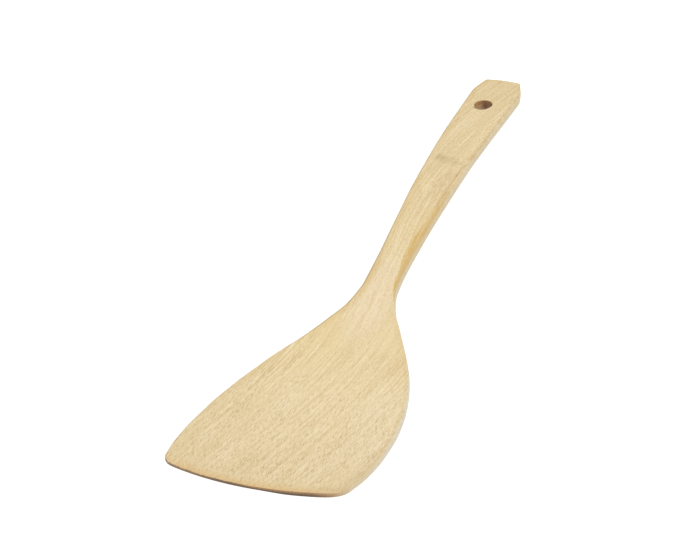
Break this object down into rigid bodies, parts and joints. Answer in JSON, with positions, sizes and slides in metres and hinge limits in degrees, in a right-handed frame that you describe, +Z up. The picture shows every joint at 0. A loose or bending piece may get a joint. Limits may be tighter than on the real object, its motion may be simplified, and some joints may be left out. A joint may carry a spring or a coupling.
{
  "type": "wooden spatula",
  "caption": "One-piece beech wok spatula with a wide fan-shaped blade held up at an angle, a slim arched handle and a hanging hole.",
  "frame": {"origin": "centre of the footprint of the bounding box, on the table that the spatula lies on", "axes": "+Y runs from the scraping edge to the end of the handle, +Z is up from the table towards the upper face, and +X is to the right seen from the scraping edge"},
  "size_m": [0.09, 0.33, 0.0303],
  "materials": {
    "beech": "fine sanded and unvarnished, pale with short darker flecks along the grain"
  },
  "bodies": {
    "root": {"spatula": "beech"}
  },
  "joints": []
}
